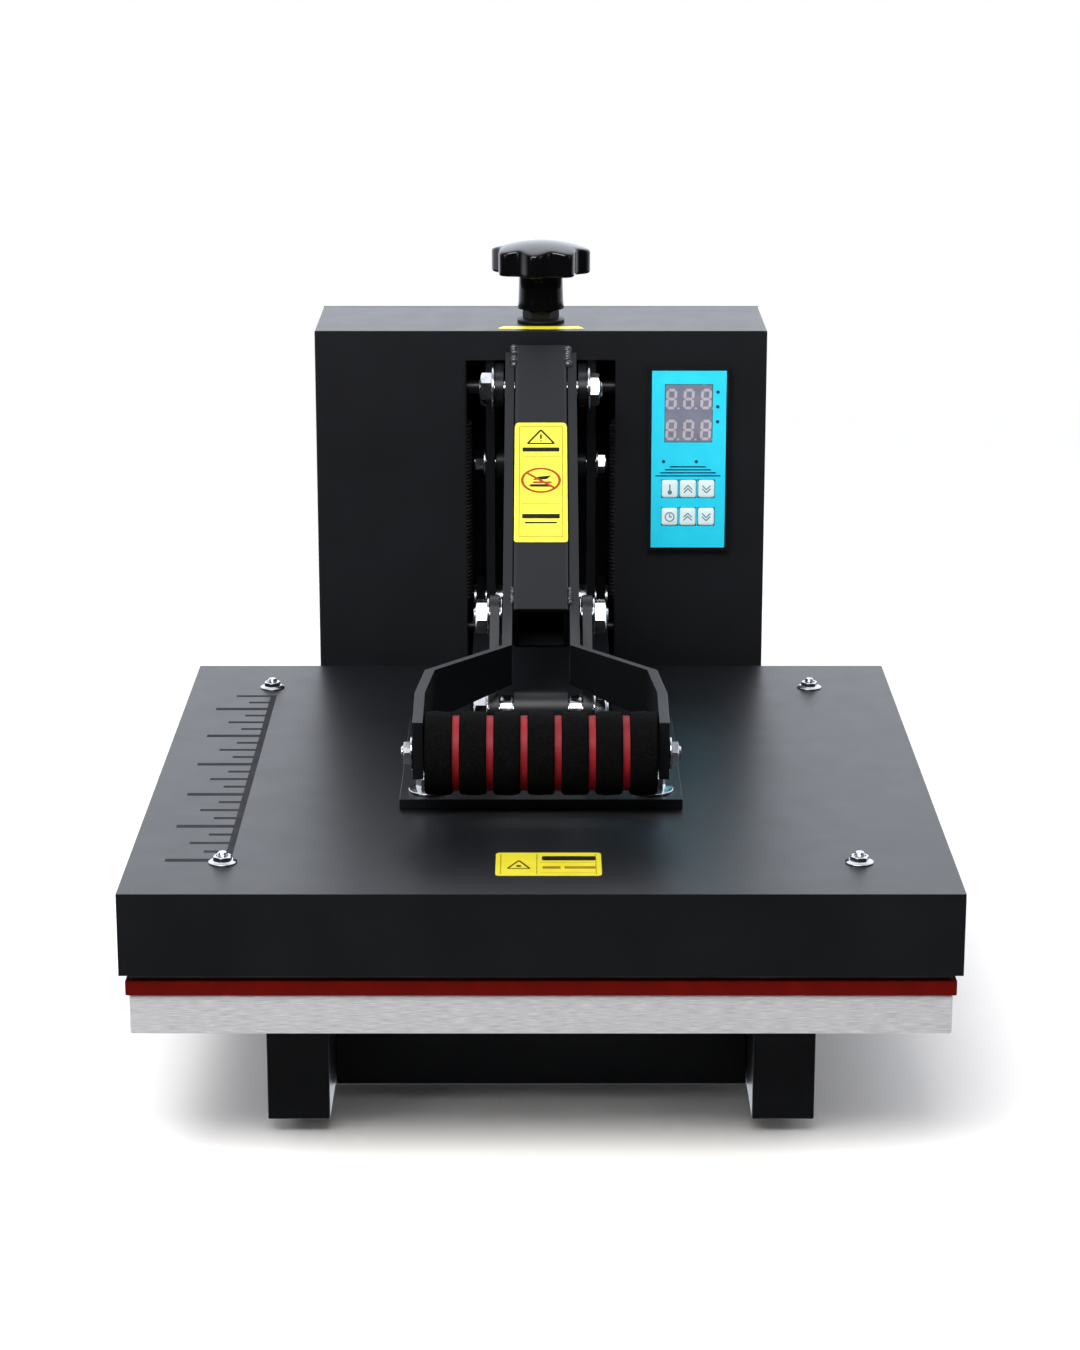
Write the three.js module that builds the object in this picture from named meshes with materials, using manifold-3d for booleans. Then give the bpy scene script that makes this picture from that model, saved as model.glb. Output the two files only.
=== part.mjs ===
// Clamshell heat press with a 15 inch square platen, closed.
// Millimetres, +Z up, the grip faces -Y, origin on the floor under the middle of the footprint.
import * as THREE from 'three';
import { mergeVertices } from 'three/addons/utils/BufferGeometryUtils.js';
import Module from 'manifold-3d';

const wasm = await Module();
wasm.setup();

// ---- driving dimensions ----
const GAP = 0.3;                       // clearance between touching pieces
const DEPTH = 500;                     // front of the cover to the rear end of the rails
const FRONT_Y = -DEPTH / 2;

const FOOT_H = 8;
const RAIL = { w: 30, h: 60, outer: 131.5, front: FRONT_Y + 44, rear: DEPTH / 2 };
const SHEET = 2;                       // wall of tubes, shells and covers
const RAIL_TOP = FOOT_H + RAIL.h;

const HEATED = 381;                    // 15 inch heating plate
const TRAY = { size: 382, h: 19.2 };
const PAD = { size: 385, h: 7.4 };
const COVER = { size: 390, h: 40, top: 138.5 };
const COVER_Y = FRONT_Y + COVER.size / 2;      // middle of the square platens

const MOUNT_PLATE = { size: 140, t: 5, y: COVER_Y };
const MOUNT_TOP = COVER.top + GAP + MOUNT_PLATE.t;

const HOUSING = { half: 127.5, front: 160, rear: 244, bottom: RAIL_TOP + GAP, top: 328.5 };
const SLOT = { half: 42, bottom: 118.5, top: 311.5 };
const SCREW = { y: 192, r: 7.8 };
const KNOB = { r: 28.5, scallop: 4.6, lobes: 8, turn: 8.7, bottom: 356.9, rim: 13.1, top: 18.6 };

// Pivots of the linkage, as y and z: the closed linkage is opened at its upper link pin.
const HINGE = { y: 202, z: 162.5 };            // platen arms on the frame
const LINK_FOOT = { y: -50, z: 167.5 };        // links on the platen
const LINK_HEAD = { y: -15, z: 208.5 };        // links beside the handle
const LEVER_PIVOT = { y: 135, z: 299.9 };      // handle on the pressure yoke

const TUBE = { size: 29, wall: 2.5, length: 206, y: 149, z: 322.5, run: -0.8545, fall: -0.5195 };
const FORK = { inner: 14.8, t: 5, h: 30 };
const GRIP = { y: -142, z: 172.9, r: 20.5, half: 56.7, grooves: 6, pitch: 16.5, groove: 3.4 };

const TIE = { y: 174, z: 250 };
const SPRING = { x: 45, y: 173.6, r: 6, bottom: 156.5, top: 290 };
const POWER = { x: -70, inletZ: 110, rockerZ: 136 };
const PANEL = { x0: 62.7, x1: 104.7, z0: 204.5, z1: 306.5, front: HOUSING.front - 4 };
const BUTTON = { w: 9.2, h: 10.2, columns: [73.3, 83.6, 94.1], rows: [238.7, 222.5], travel: 1 };

// ---- materials ----
const finish = (color, roughness, metalness = 0) =>
  new THREE.MeshStandardMaterial({ color, roughness, metalness });
const powderCoat = () => finish(0x1b1c1f, 0.5, 0.2);
const zinc = () => finish(0xcdd0d2, 0.3, 1);
const steel = () => finish(0xc4c4c4, 0.38, 1);
const glossBlack = () => finish(0x0b0b0c, 0.15);
const foam = () => finish(0x161616, 0.95);
const redSleeve = () => finish(0xbc1428, 0.5);
const silicone = () => finish(0x6a1408, 0.75);
const rubber = () => finish(0x111111, 0.9);

// ---- geometry helpers ----
function solid(geometry) {
  const bare = geometry.clone();
  bare.deleteAttribute('normal');
  bare.deleteAttribute('uv');
  const merged = mergeVertices(bare, 1e-4);
  return new wasm.Manifold(new wasm.Mesh({
    numProp: 3,
    vertProperties: new Float32Array(merged.attributes.position.array),
    triVerts: new Uint32Array(merged.index.array),
  }));
}

function geometryOf(manifold) {
  const mesh = manifold.getMesh();
  const geometry = new THREE.BufferGeometry();
  geometry.setAttribute('position', new THREE.BufferAttribute(mesh.vertProperties, 3));
  geometry.setIndex(new THREE.BufferAttribute(mesh.triVerts, 1));
  geometry.computeVertexNormals();
  return geometry;
}

const cut = (geometry, ...tools) =>
  geometryOf(tools.reduce((body, tool) => body.subtract(solid(tool)), solid(geometry)));
const join = (geometry, ...others) =>
  geometryOf(others.reduce((body, other) => body.add(solid(other)), solid(geometry)));

const overlap = (geometry, other) => geometryOf(solid(geometry).intersect(solid(other)));

// A box given by its limits along X, Y and Z.
function block(x0, x1, y0, y1, z0, z1) {
  return new THREE.BoxGeometry(x1 - x0, y1 - y0, z1 - z0)
    .translate((x0 + x1) / 2, (y0 + y1) / 2, (z0 + z1) / 2);
}

const squareBlock = (size, y, z0, z1) =>
  block(-size / 2, size / 2, y - size / 2, y + size / 2, z0, z1);

// An outline in the YZ plane, extruded along X from x0 to x1.
function sideProfile(shape, x0, x1, curveSegments = 10) {
  const geometry = new THREE.ExtrudeGeometry(shape, {
    depth: x1 - x0, bevelEnabled: false, curveSegments,
  });
  const basis = new THREE.Matrix4().makeBasis(
    new THREE.Vector3(0, 1, 0), new THREE.Vector3(0, 0, 1), new THREE.Vector3(1, 0, 0));
  return geometry.applyMatrix4(basis).translate(x0, 0, 0);
}

const polygon = (points) => new THREE.Shape(points.map(([y, z]) => new THREE.Vector2(y, z)));

// A flat bar outline with round ends between two pivots.
function barOutline(a, b, radius) {
  const angle = Math.atan2(b.z - a.z, b.y - a.y);
  const shape = new THREE.Shape();
  shape.absarc(b.y, b.z, radius, angle - Math.PI / 2, angle + Math.PI / 2);
  shape.absarc(a.y, a.z, radius, angle + Math.PI / 2, angle + Math.PI * 1.5);
  return shape;
}

// Cylinders along X or Z; six sides make a hexagon head.
function rodX(radius, x0, x1, y, z, sides = 20) {
  return new THREE.CylinderGeometry(radius, radius, x1 - x0, sides)
    .rotateZ(-Math.PI / 2).translate((x0 + x1) / 2, y, z);
}

function rodZ(radius, z0, z1, x, y, sides = 24, topRadius = radius) {
  return new THREE.CylinderGeometry(topRadius, radius, z1 - z0, sides)
    .rotateX(Math.PI / 2).translate(x, y, (z0 + z1) / 2);
}

const press = new THREE.Group();

function add(name, geometry, material, parent = press) {
  const mesh = new THREE.Mesh(geometry, material);
  mesh.name = name;
  parent.add(mesh);
  return mesh;
}

const sides = [['left', -1], ['right', 1]];

// ---- stand: two rails, two crossbars, four feet ----
function buildStand() {
  const inner = RAIL.outer - RAIL.w;
  for (const [name, side] of sides) {
    const x0 = side < 0 ? -RAIL.outer : inner;
    const outside = block(x0, x0 + RAIL.w, RAIL.front, RAIL.rear, FOOT_H, RAIL_TOP);
    const hollow = block(x0 + SHEET, x0 + RAIL.w - SHEET, RAIL.front + SHEET, RAIL.rear + 1,
      FOOT_H + SHEET, RAIL_TOP - SHEET);
    add(`rail_${name}`, cut(outside, hollow), powderCoat());
    for (const [place, y] of [['front', RAIL.front + 32], ['rear', RAIL.rear - 32]]) {
      add(`foot_${place}_${name}`,
        rodZ(13, 0, FOOT_H - GAP, x0 + RAIL.w / 2, y, 24, 11), rubber());
    }
  }
  for (const [place, y] of [['front', FRONT_Y + 87], ['rear', RAIL.rear - 70]]) {
    const half = inner - GAP;
    const outside = block(-half, half, y, y + RAIL.w, FOOT_H, RAIL_TOP);
    const hollow = block(-half - 1, half + 1, y + SHEET, y + RAIL.w - SHEET,
      FOOT_H + SHEET, RAIL_TOP - SHEET);
    add(`crossbar_${place}`, cut(outside, hollow), powderCoat());
  }
}

// ---- lower platen: folded steel tray with a silicone pad ----
function buildLowerPlaten() {
  const z0 = RAIL_TOP + GAP;
  const z1 = z0 + TRAY.h;
  const hollow = squareBlock(TRAY.size - 2 * SHEET, COVER_Y, z0 - 1, z1 - SHEET);
  add('lower_tray', cut(squareBlock(TRAY.size, COVER_Y, z0, z1), hollow), steel());
  add('silicone_pad', squareBlock(PAD.size, COVER_Y, z1 + GAP, z1 + GAP + PAD.h), silicone());
}

// ---- rear housing, its back panel and the steel frame inside ----
function buildHousing() {
  const h = HOUSING;
  const shell = block(-h.half, h.half, h.front, h.rear, h.bottom, h.top);
  const hollow = block(-h.half + SHEET, h.half - SHEET, h.front + SHEET, h.rear + 1,
    h.bottom + SHEET, h.top - SHEET);
  const slot = block(-SLOT.half, SLOT.half, h.front - 1, h.front + SHEET + 1, SLOT.bottom, SLOT.top);
  const panelHole = block(PANEL.x0, PANEL.x1, h.front - 1, h.front + SHEET + 1, PANEL.z0, PANEL.z1);
  const screwHole = rodZ(SCREW.r + 1, h.top - SHEET - 1, h.top + 1, 0, SCREW.y);
  add('housing_shell', cut(shell, hollow, slot, panelHole, screwHole), powderCoat());

  const back = block(-h.half, h.half, h.rear + GAP, h.rear + GAP + SHEET, h.bottom, h.top);
  const holes = [block(POWER.x - 14, POWER.x + 14, h.rear - 1, h.rear + 4,
    POWER.inletZ - 10.5, POWER.rockerZ + 10.5)];
  for (let row = 0; row < 5; row++) {
    const z = 262 + row * 11;
    holes.push(block(-35, 35, h.rear - 1, h.rear + 4, z, z + 4));
  }
  add('back_panel', cut(back, ...holes), powderCoat());

  // Uprights carry the hinge shaft, the tie bolt and the spring posts.
  const base = h.bottom + SHEET + GAP;
  for (const [name, side] of sides) {
    const plate = side < 0 ? [-31.2, -26.2] : [26.2, 31.2];
    const post = side < 0 ? [-50, -31] : [31, 50];
    const body = join(block(...plate, 164, 230, base, h.top - SHEET - GAP),
      rodX(4, ...post, SPRING.y, SPRING.top + 4, 12));
    add(`upright_${name}`, cut(body,
      rodX(8 + GAP, plate[0] - 1, plate[1] + 1, HINGE.y, HINGE.z),
      rodX(4 + GAP, plate[0] - 1, plate[1] + 1, TIE.y, TIE.z)), powderCoat());
  }
  add('hinge_shaft', rodX(8, -40, 40, HINGE.y, HINGE.z), steel());
  add('tie_bolt', join(throughBolt(TIE, 4, 31.5, 8.5, 1.5, 6.4, 5),
    rodX(8, -25.9, 25.9, TIE.y, TIE.z)), zinc());
}

// A bolt along X through y and z, with a washer and a hexagon at both ends.
function throughBolt(place, radius, grip, washerRadius, washer, hexRadius, hexHeight) {
  const { y, z } = place;
  const ends = [-1, 1].flatMap((side) => {
    const span = (from, to) => (side < 0 ? [-to, -from] : [from, to]);
    return [
      rodX(washerRadius, ...span(grip, grip + washer + 0.1), y, z, 28),
      rodX(hexRadius, ...span(grip + washer, grip + washer + hexHeight), y, z, 6),
    ];
  });
  return join(rodX(radius, -grip - 1, grip + 1, y, z), ...ends);
}

// ---- lift springs between the uprights and the platen arms ----
function buildSprings() {
  for (const [name, side] of sides) {
    const profile = [[0, 0], [1.5, 0], [1.5, 6], [SPRING.r, 9], [SPRING.r, 118], [1.5, 121],
      [1.5, 128], [0, 128]].map(([r, h]) => new THREE.Vector2(r, h));
    const spring = new THREE.LatheGeometry(profile, 16).rotateX(Math.PI / 2);
    const mesh = add(`lift_spring_${name}`, spring, steel());
    mesh.position.set(side * SPRING.x, SPRING.y, SPRING.bottom + 1);
  }
}

// ---- control unit with its six buttons, and the mains inlet with a rocker ----
function buildControls() {
  const p = PANEL;
  const rim = 2;
  const shellFront = block(p.x0 - rim, p.x1 + rim, p.front + 0.5, HOUSING.front - GAP,
    p.z0 - rim, p.z1 + rim);
  const shellBody = block(p.x0 + 1, p.x1 - 1, p.front + 1, p.front + 45, p.z0 + 1, p.z1 - 1);
  const wells = buttonPlaces().map(({ x, z }) => block(x - BUTTON.w / 2 - 0.6,
    x + BUTTON.w / 2 + 0.6, p.front, p.front + 4.5, z - BUTTON.h / 2 - 0.6, z + BUTTON.h / 2 + 0.6));
  const window = [69.9, 97.1, 265.5, 299];
  const windowWell = block(window[0] - 0.5, window[1] + 0.5, p.front, p.front + 3,
    window[2] - 0.5, window[3] + 0.5);
  add('control_case', cut(join(shellFront, shellBody), ...wells, windowWell), finish(0x101113, 0.6));

  const face = block(p.x0, p.x1, p.front - 0.8, p.front + 0.2, p.z0, p.z1);
  const openings = buttonPlaces().map(({ x, z }) => block(x - BUTTON.w / 2 - 0.3,
    x + BUTTON.w / 2 + 0.3, p.front - 2, p.front + 2, z - BUTTON.h / 2 - 0.3, z + BUTTON.h / 2 + 0.3));
  const windowHole = block(window[0], window[1], p.front - 2, p.front + 2, window[2], window[3]);
  add('control_face', cut(face, windowHole, ...openings), finish(0x27c1f2, 0.5));
  add('display', block(window[0] + 0.3, window[1] - 0.3, p.front - 0.5, p.front + 2.4,
    window[2] + 0.3, window[3] - 0.3), finish(0x8d919c, 0.3));

  for (const { name, x, z } of buttonPlaces()) {
    add(name, block(x - BUTTON.w / 2, x + BUTTON.w / 2, p.front - 1.6, p.front + 3,
      z - BUTTON.h / 2, z + BUTTON.h / 2), finish(0xd8eef0, 0.5));
  }
  add('control_relay', block(50, 95, HOUSING.rear - 30, HOUSING.rear - 4, 90, 148),
    finish(0xc9c9c4, 0.6));
}

function buttonPlaces() {
  const rows = ['temperature', 'timer'];
  const columns = ['mode', 'up', 'down'];
  return BUTTON.rows.flatMap((z, r) => BUTTON.columns.map((x, c) => (
    { name: `button_${rows[r]}_${columns[c]}`, x, z })));
}

// Mains socket and rocker in one moulded frame on the back panel.
function buildPowerModule() {
  const back = HOUSING.rear + GAP + SHEET;
  const { x, inletZ, rockerZ } = POWER;
  const flange = block(x - 18, x + 18, back + GAP, back + 2.6, inletZ - 14, rockerZ + 14);
  const body = block(x - 13.7, x + 13.7, back - 16, back + 1, inletZ - 10.2, rockerZ + 10.2);
  const socket = block(x - 12, x + 12, back - 13, back + 4, inletZ - 8, inletZ + 8);
  const well = block(x - 10.4, x + 10.4, back - 9, back + 4, rockerZ - 8.6, rockerZ + 8.6);
  add('power_module', cut(join(flange, body), socket, well), finish(0x101010, 0.55));

  // The rocker's face is a shallow V, so that either end can sit flush.
  const top = back + 3.4;
  const outline = polygon([[top - 8, rockerZ - 3], [top - 4.4, rockerZ - 6.2],
    [top - 3.4, rockerZ - 6.5], [top - 1.6, rockerZ], [top, rockerZ + 6.3],
    [top - 1.2, rockerZ + 6.5], [top - 8, rockerZ + 3]]);
  add('power_rocker', sideProfile(outline, x - 10, x + 10), finish(0xb01218, 0.35));
}

// ---- pressure adjustment: knob, screw, collar and yoke ----
const turned = (points, z, segments = 32) =>
  new THREE.LatheGeometry(points.map(([r, h]) => new THREE.Vector2(r, h)), segments)
    .rotateX(Math.PI / 2).translate(0, SCREW.y, z);

function buildPressureScrew() {
  const top = HOUSING.top;
  const stem = top + 7.6;
  add('screw_collar', cut(join(rodZ(13.5, top + GAP, top + 2.5, 0, SCREW.y, 28),
    rodZ(10.5, top + 2.4, stem - GAP, 0, SCREW.y, 6)),
  rodZ(SCREW.r + 0.6, top - 1, stem + 1, 0, SCREW.y)), powderCoat());
  add('pressure_screw', rodZ(SCREW.r, 290, KNOB.bottom + 4, 0, SCREW.y), steel());

  // One lobe stands a few degrees left of the front.
  const lobe = THREE.MathUtils.degToRad(-90 - KNOB.turn);
  const outline = new THREE.Shape();
  const steps = KNOB.lobes * 10;
  for (let i = 0; i < steps; i++) {
    const angle = lobe + (i / steps) * 2 * Math.PI;
    const radius = KNOB.r - KNOB.scallop * (0.5 - 0.5 * Math.cos(KNOB.lobes * (angle - lobe)));
    const point = [radius * Math.cos(angle), radius * Math.sin(angle)];
    if (i === 0) outline.moveTo(...point);
    else outline.lineTo(...point);
  }
  // The lobed prism runs out in a shallow dome.
  const prism = new THREE.ExtrudeGeometry(outline, { depth: KNOB.top + 1, bevelEnabled: false })
    .translate(0, SCREW.y, KNOB.bottom);
  const domePoints = [1, 0.84, 0.63, 0.42, 0.21, 0].map((share) => (
    [KNOB.r * share, KNOB.top - (KNOB.top - KNOB.rim) * share * share]));
  const envelope = turned([[0, 0], [KNOB.r - 0.9, 0], [KNOB.r, 0.9], ...domePoints], KNOB.bottom, 64);
  const cap = overlap(prism, envelope);
  const shank = turned([[0, 0], [13.2, 0], [13.2, 2], [12.8, 7], [12.8, 22], [0, 22]], stem);
  const bore = rodZ(SCREW.r + GAP, top, KNOB.bottom + 4 + GAP, 0, SCREW.y);
  add('pressure_knob', cut(join(cap, shank), bore), glossBlack());
}

function buildYoke() {
  const outer = 25.7;
  const inner = 20.7;
  const r = 10;
  const outline = new THREE.Shape();
  outline.absarc(LEVER_PIVOT.y, LEVER_PIVOT.z, r, Math.PI / 2, Math.PI * 1.5);
  outline.lineTo(208, LEVER_PIVOT.z - r);
  outline.lineTo(208, LEVER_PIVOT.z + r);
  const body = sideProfile(outline, -outer, outer);
  const clevis = block(-inner, inner, LEVER_PIVOT.y - 20, 176, 280, 320);
  add('pressure_yoke', cut(body, clevis,
    rodZ(SCREW.r + GAP, 280, 320, 0, SCREW.y),
    rodX(5 + GAP, -30, 30, LEVER_PIVOT.y, LEVER_PIVOT.z)), powderCoat());
  add('lever_pivot_bolt', throughBolt(LEVER_PIVOT, 5, 26, 12.5, 1.8, 9.4, 6.4), zinc());
}

// ---- handle: square tube between two bent fork bars, with a foam grip ----
// A point on the handle tube: along it from its upper end, and down from its front face.
function tubePoint(along, down) {
  return [
    TUBE.y + TUBE.run * along - TUBE.fall * down,
    TUBE.z + TUBE.fall * along + TUBE.run * down,
  ];
}

function buildHandle() {
  const corners = (from, to, top, bottom) => polygon([
    tubePoint(from, top), tubePoint(to, top), tubePoint(to, bottom), tubePoint(from, bottom)]);
  const half = TUBE.size / 2;
  const outside = sideProfile(corners(0, TUBE.length, 0, TUBE.size), -half, half);
  const hollow = sideProfile(corners(TUBE.wall, TUBE.length + 1, TUBE.wall, TUBE.size - TUBE.wall),
    -half + TUBE.wall, half - TUBE.wall);
  add('handle_tube', cut(outside, hollow,
    rodX(5 + GAP, -half - 1, half + 1, LEVER_PIVOT.y, LEVER_PIVOT.z)), powderCoat());
  for (const [name, side] of sides) add(`fork_bar_${name}`, forkBar(side), powderCoat());
  buildGrip();
}

// Stations of a fork bar, from the pivot to the grip: upper edge, lower edge, inner face.
function forkStations() {
  const [topY, topZ] = tubePoint(4, 2);
  const [topLowY, topLowZ] = tubePoint(4, 2 + FORK.h);
  const [endY, endZ] = tubePoint(199, 2);
  const [endLowY, endLowZ] = tubePoint(199, 2 + FORK.h);
  return [
    { upper: [topY, topZ], lower: [topLowY, topLowZ], inner: FORK.inner },
    { upper: [endY, endZ], lower: [endLowY, endLowZ], inner: FORK.inner },
    { upper: [-60, 205.2], lower: [-53, 182.2], inner: FORK.inner },
    { upper: [-92, 201], lower: [-90, 174.5], inner: 53 },
    { upper: [-118, 196.8], lower: [-118, 169.1], inner: 57.1 },
    { upper: [-152, 191.3], lower: [-152, 162.5], inner: 57.1 },
  ];
}

// A box cut into lengths, with the corners of each section moved to its station.
function forkBar(side) {
  const stations = forkStations();
  const bar = new THREE.BoxGeometry(FORK.t, stations.length - 1, 1, 1, stations.length - 1, 1);
  const p = bar.attributes.position;
  for (let i = 0; i < p.count; i++) {
    const station = stations[Math.round((stations.length - 1) / 2 - p.getY(i))];
    const [y, z] = p.getZ(i) > 0 ? station.upper : station.lower;
    p.setXYZ(i, side * (station.inner + FORK.t / 2) + p.getX(i), y, z);
  }
  const x0 = side < 0 ? -64 : 10;
  return cut(bar,
    rodX(5 + GAP, x0, x0 + 54, LEVER_PIVOT.y, LEVER_PIVOT.z),
    rodX(4 + GAP, x0, x0 + 54, GRIP.y, GRIP.z, 16));
}

function buildGrip() {
  const { y, z, r, half } = GRIP;
  const barRadius = 10;
  const coreRadius = 18.3;
  const ends = sides.flatMap(([, side]) => {
    const span = (from, to) => (side < 0 ? [-to, -from] : [from, to]);
    return [rodX(4, ...span(half - 1, 63), y, z, 16), rodX(8, ...span(62.5, 64), y, z, 24),
      rodX(6.4, ...span(63.9, 68.2), y, z, 6)];
  });
  add('grip_axle', join(rodX(barRadius, -half, half, y, z, 24), ...ends), zinc());
  add('grip_core', cut(rodX(coreRadius, -half + 1, half - 1, y, z, 32),
    rodX(barRadius + GAP, -half, half, y, z, 24)), redSleeve());

  const bore = coreRadius + GAP;
  const groove = bore + 0.5;
  const outer = half - 0.2;
  const points = [[bore, -outer], [r - 1.2, -outer], [r, -outer + 1.2]];
  for (let i = 0; i < GRIP.grooves; i++) {
    const middle = (i - (GRIP.grooves - 1) / 2) * GRIP.pitch;
    const left = middle - GRIP.groove / 2;
    const right = middle + GRIP.groove / 2;
    points.push([r, left], [groove, left], [groove, right], [r, right]);
  }
  points.push([r, outer - 1.2], [r - 1.2, outer], [bore, outer], [bore, -outer]);
  const sleeve = new THREE.LatheGeometry(points.map(([radius, h]) => new THREE.Vector2(radius, h)), 28)
    .rotateZ(-Math.PI / 2).translate(0, y, z);
  add('grip_foam', sleeve, foam());
}

// ---- links between the handle and the platen ----
function buildLinks() {
  for (const [name, side] of sides) {
    const span = (from, to) => (side < 0 ? [-to, -from] : [from, to]);
    const plate = sideProfile(barOutline(LINK_FOOT, LINK_HEAD, 11), ...span(21.5, 26.5));
    add(`link_${name}`, cut(plate,
      rodX(5 + GAP, ...span(20, 28), LINK_FOOT.y, LINK_FOOT.z),
      rodX(5 + GAP, ...span(20, 28), LINK_HEAD.y, LINK_HEAD.z)), powderCoat());
    const { y, z } = LINK_HEAD;
    add(`link_bolt_${name}`, join(rodX(5, ...span(20.6, 28), y, z),
      rodX(10, ...span(20.2, 21.2), y, z, 28), rodX(10, ...span(26.8, 28.4), y, z, 28),
      rodX(9.4, ...span(28.3, 35), y, z, 6)), zinc());
  }
  const { y, z } = LINK_FOOT;
  const collars = sides.map(([, side]) => rodX(8, ...(side < 0 ? [-21.2, -14.3] : [14.3, 21.2]), y, z));
  add('link_foot_bolt', join(throughBolt(LINK_FOOT, 5, 26.8, 9.5, 1.6, 9.4, 6.4), ...collars), zinc());
}

// ---- upper platen: cover, heating plate, mount plate, arms and bolts ----
function buildUpperPlaten() {
  const bottom = COVER.top - COVER.h;
  const boltHoles = [];
  const mountBolts = [];
  for (const [name, side] of sides) {
    for (const [place, sign] of [['front', -1], ['rear', 1]]) {
      const corner = { x: side * 150, y: COVER_Y + sign * 150 };
      const middle = { x: side * 55, y: COVER_Y + sign * 55 };
      add(`cover_bolt_${place}_${name}`,
        topBolt(corner, COVER.top, 3, 6.8, 1, 4.8, 2), zinc());
      add(`mount_bolt_${place}_${name}`,
        topBolt(middle, MOUNT_TOP, 4, 11, 1.8, 7.5, 6.5), zinc());
      boltHoles.push(rodZ(3 + GAP, COVER.top - 4, COVER.top + 1, corner.x, corner.y, 16));
      mountBolts.push(rodZ(4 + GAP, COVER.top - 4, MOUNT_TOP + 1, middle.x, middle.y, 16));
    }
  }
  const hollow = squareBlock(COVER.size - 2 * SHEET, COVER_Y, bottom - 1, COVER.top - SHEET);
  add('upper_cover', cut(squareBlock(COVER.size, COVER_Y, bottom, COVER.top), hollow,
    ...boltHoles, ...mountBolts), powderCoat());
  add('heating_plate', squareBlock(HEATED, COVER_Y, bottom - 3, bottom + 15), finish(0x2a2a2c, 0.5, 0.6));
  add('insulation_mat', squareBlock(HEATED, COVER_Y, bottom + 15.3, COVER.top - 8),
    finish(0xd9d2be, 0.95));
  const plate = block(-MOUNT_PLATE.size / 2, MOUNT_PLATE.size / 2,
    MOUNT_PLATE.y - MOUNT_PLATE.size / 2, MOUNT_PLATE.y + MOUNT_PLATE.size / 2,
    COVER.top + GAP, MOUNT_TOP);
  add('mount_plate', cut(plate, ...mountBolts), powderCoat());

  const foot = MOUNT_TOP + GAP;
  const { y, z } = LINK_FOOT;
  const outline = new THREE.Shape();
  outline.moveTo(y - 20, foot);
  outline.lineTo(y + 20, foot);
  outline.lineTo(y + 11, z);
  outline.absarc(y, z, 11, 0, Math.PI);
  add('link_bracket', cut(sideProfile(outline, -14, 14), rodX(5 + GAP, -16, 16, y, z)), powderCoat());
  add('platen_arms', platenArms(foot), powderCoat());
}

// A bolt standing on a horizontal face, with its washer, hexagon and thread end.
function topBolt({ x, y }, face, radius, washerRadius, washer, hexRadius, hexHeight) {
  const top = face + GAP + washer + hexHeight;
  return join(rodZ(radius, face - 3, top + 2, x, y, 16),
    rodZ(washerRadius, face + GAP, face + GAP + washer + 0.1, x, y, 28),
    rodZ(hexRadius, face + GAP + washer, top, x, y, 6));
}

// Two side plates joined by a web, hinged on the shaft at the rear.
function platenArms(foot) {
  const outer = 37.5;
  const inner = 32.5;
  const web = { front: -24, rear: 146, top: COVER.top + 27, t: 5 };
  const eye = 13;
  const outline = new THREE.Shape();
  outline.moveTo(web.front, foot);
  outline.lineTo(HINGE.y - 30, foot);
  outline.absarc(HINGE.y, HINGE.z, eye, -Math.PI * 0.62, Math.PI * 0.5);
  outline.lineTo(web.rear + 20, web.top);
  outline.lineTo(web.front, web.top);
  const body = sideProfile(outline, -outer, outer, 14);
  const under = block(-inner, inner, web.front - 1, HINGE.y + 20, foot - 1, web.top - web.t);
  const behind = block(-inner, inner, web.rear, HINGE.y + 20, foot - 1, 200);
  const pins = sides.map(([, side]) =>
    rodX(3, ...(side < 0 ? [-SPRING.x - 5, -outer + 1] : [outer - 1, SPRING.x + 5]),
      SPRING.y, SPRING.bottom - 3.5, 12));
  return join(cut(body, under, behind, rodX(8 + GAP, -40, 40, HINGE.y, HINGE.z)), ...pins);
}

buildStand();
buildLowerPlaten();
buildHousing();
buildSprings();
buildControls();
buildPowerModule();
buildPressureScrew();
buildYoke();
buildHandle();
buildLinks();
buildUpperPlaten();

export default press;
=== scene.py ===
"""Looks of a clamshell heat press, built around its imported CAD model.

Shapes are drawn in millimetres and turned into metres when a piece is made.
The grip faces -Y, +Z is up, and most places come from the CAD nodes' boxes.
"""

import math
import random

import bpy
from mathutils import Matrix, Vector, noise


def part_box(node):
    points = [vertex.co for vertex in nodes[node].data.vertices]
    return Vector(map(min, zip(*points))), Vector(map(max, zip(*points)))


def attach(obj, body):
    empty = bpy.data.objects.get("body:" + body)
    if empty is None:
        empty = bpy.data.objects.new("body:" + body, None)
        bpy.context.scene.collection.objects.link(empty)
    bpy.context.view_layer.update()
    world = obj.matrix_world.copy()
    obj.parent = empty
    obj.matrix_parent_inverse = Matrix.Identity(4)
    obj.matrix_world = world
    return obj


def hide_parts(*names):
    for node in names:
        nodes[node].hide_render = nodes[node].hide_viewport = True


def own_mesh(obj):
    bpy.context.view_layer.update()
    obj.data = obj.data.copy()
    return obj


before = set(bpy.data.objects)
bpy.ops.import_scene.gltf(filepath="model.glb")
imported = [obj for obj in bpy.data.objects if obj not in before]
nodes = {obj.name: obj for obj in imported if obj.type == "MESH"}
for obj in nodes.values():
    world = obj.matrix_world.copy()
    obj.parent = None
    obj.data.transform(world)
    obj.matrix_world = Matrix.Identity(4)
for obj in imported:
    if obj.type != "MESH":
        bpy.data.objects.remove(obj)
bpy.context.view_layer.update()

MM = 0.001
SIDES = (("left", -1), ("right", 1))
PLACES = ("front", "rear")


# ---- places

def low(node):
    """A CAD node's lowest corner, in millimetres."""
    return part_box(node)[0] / MM


def high(node):
    """A CAD node's highest corner, in millimetres."""
    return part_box(node)[1] / MM


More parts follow.
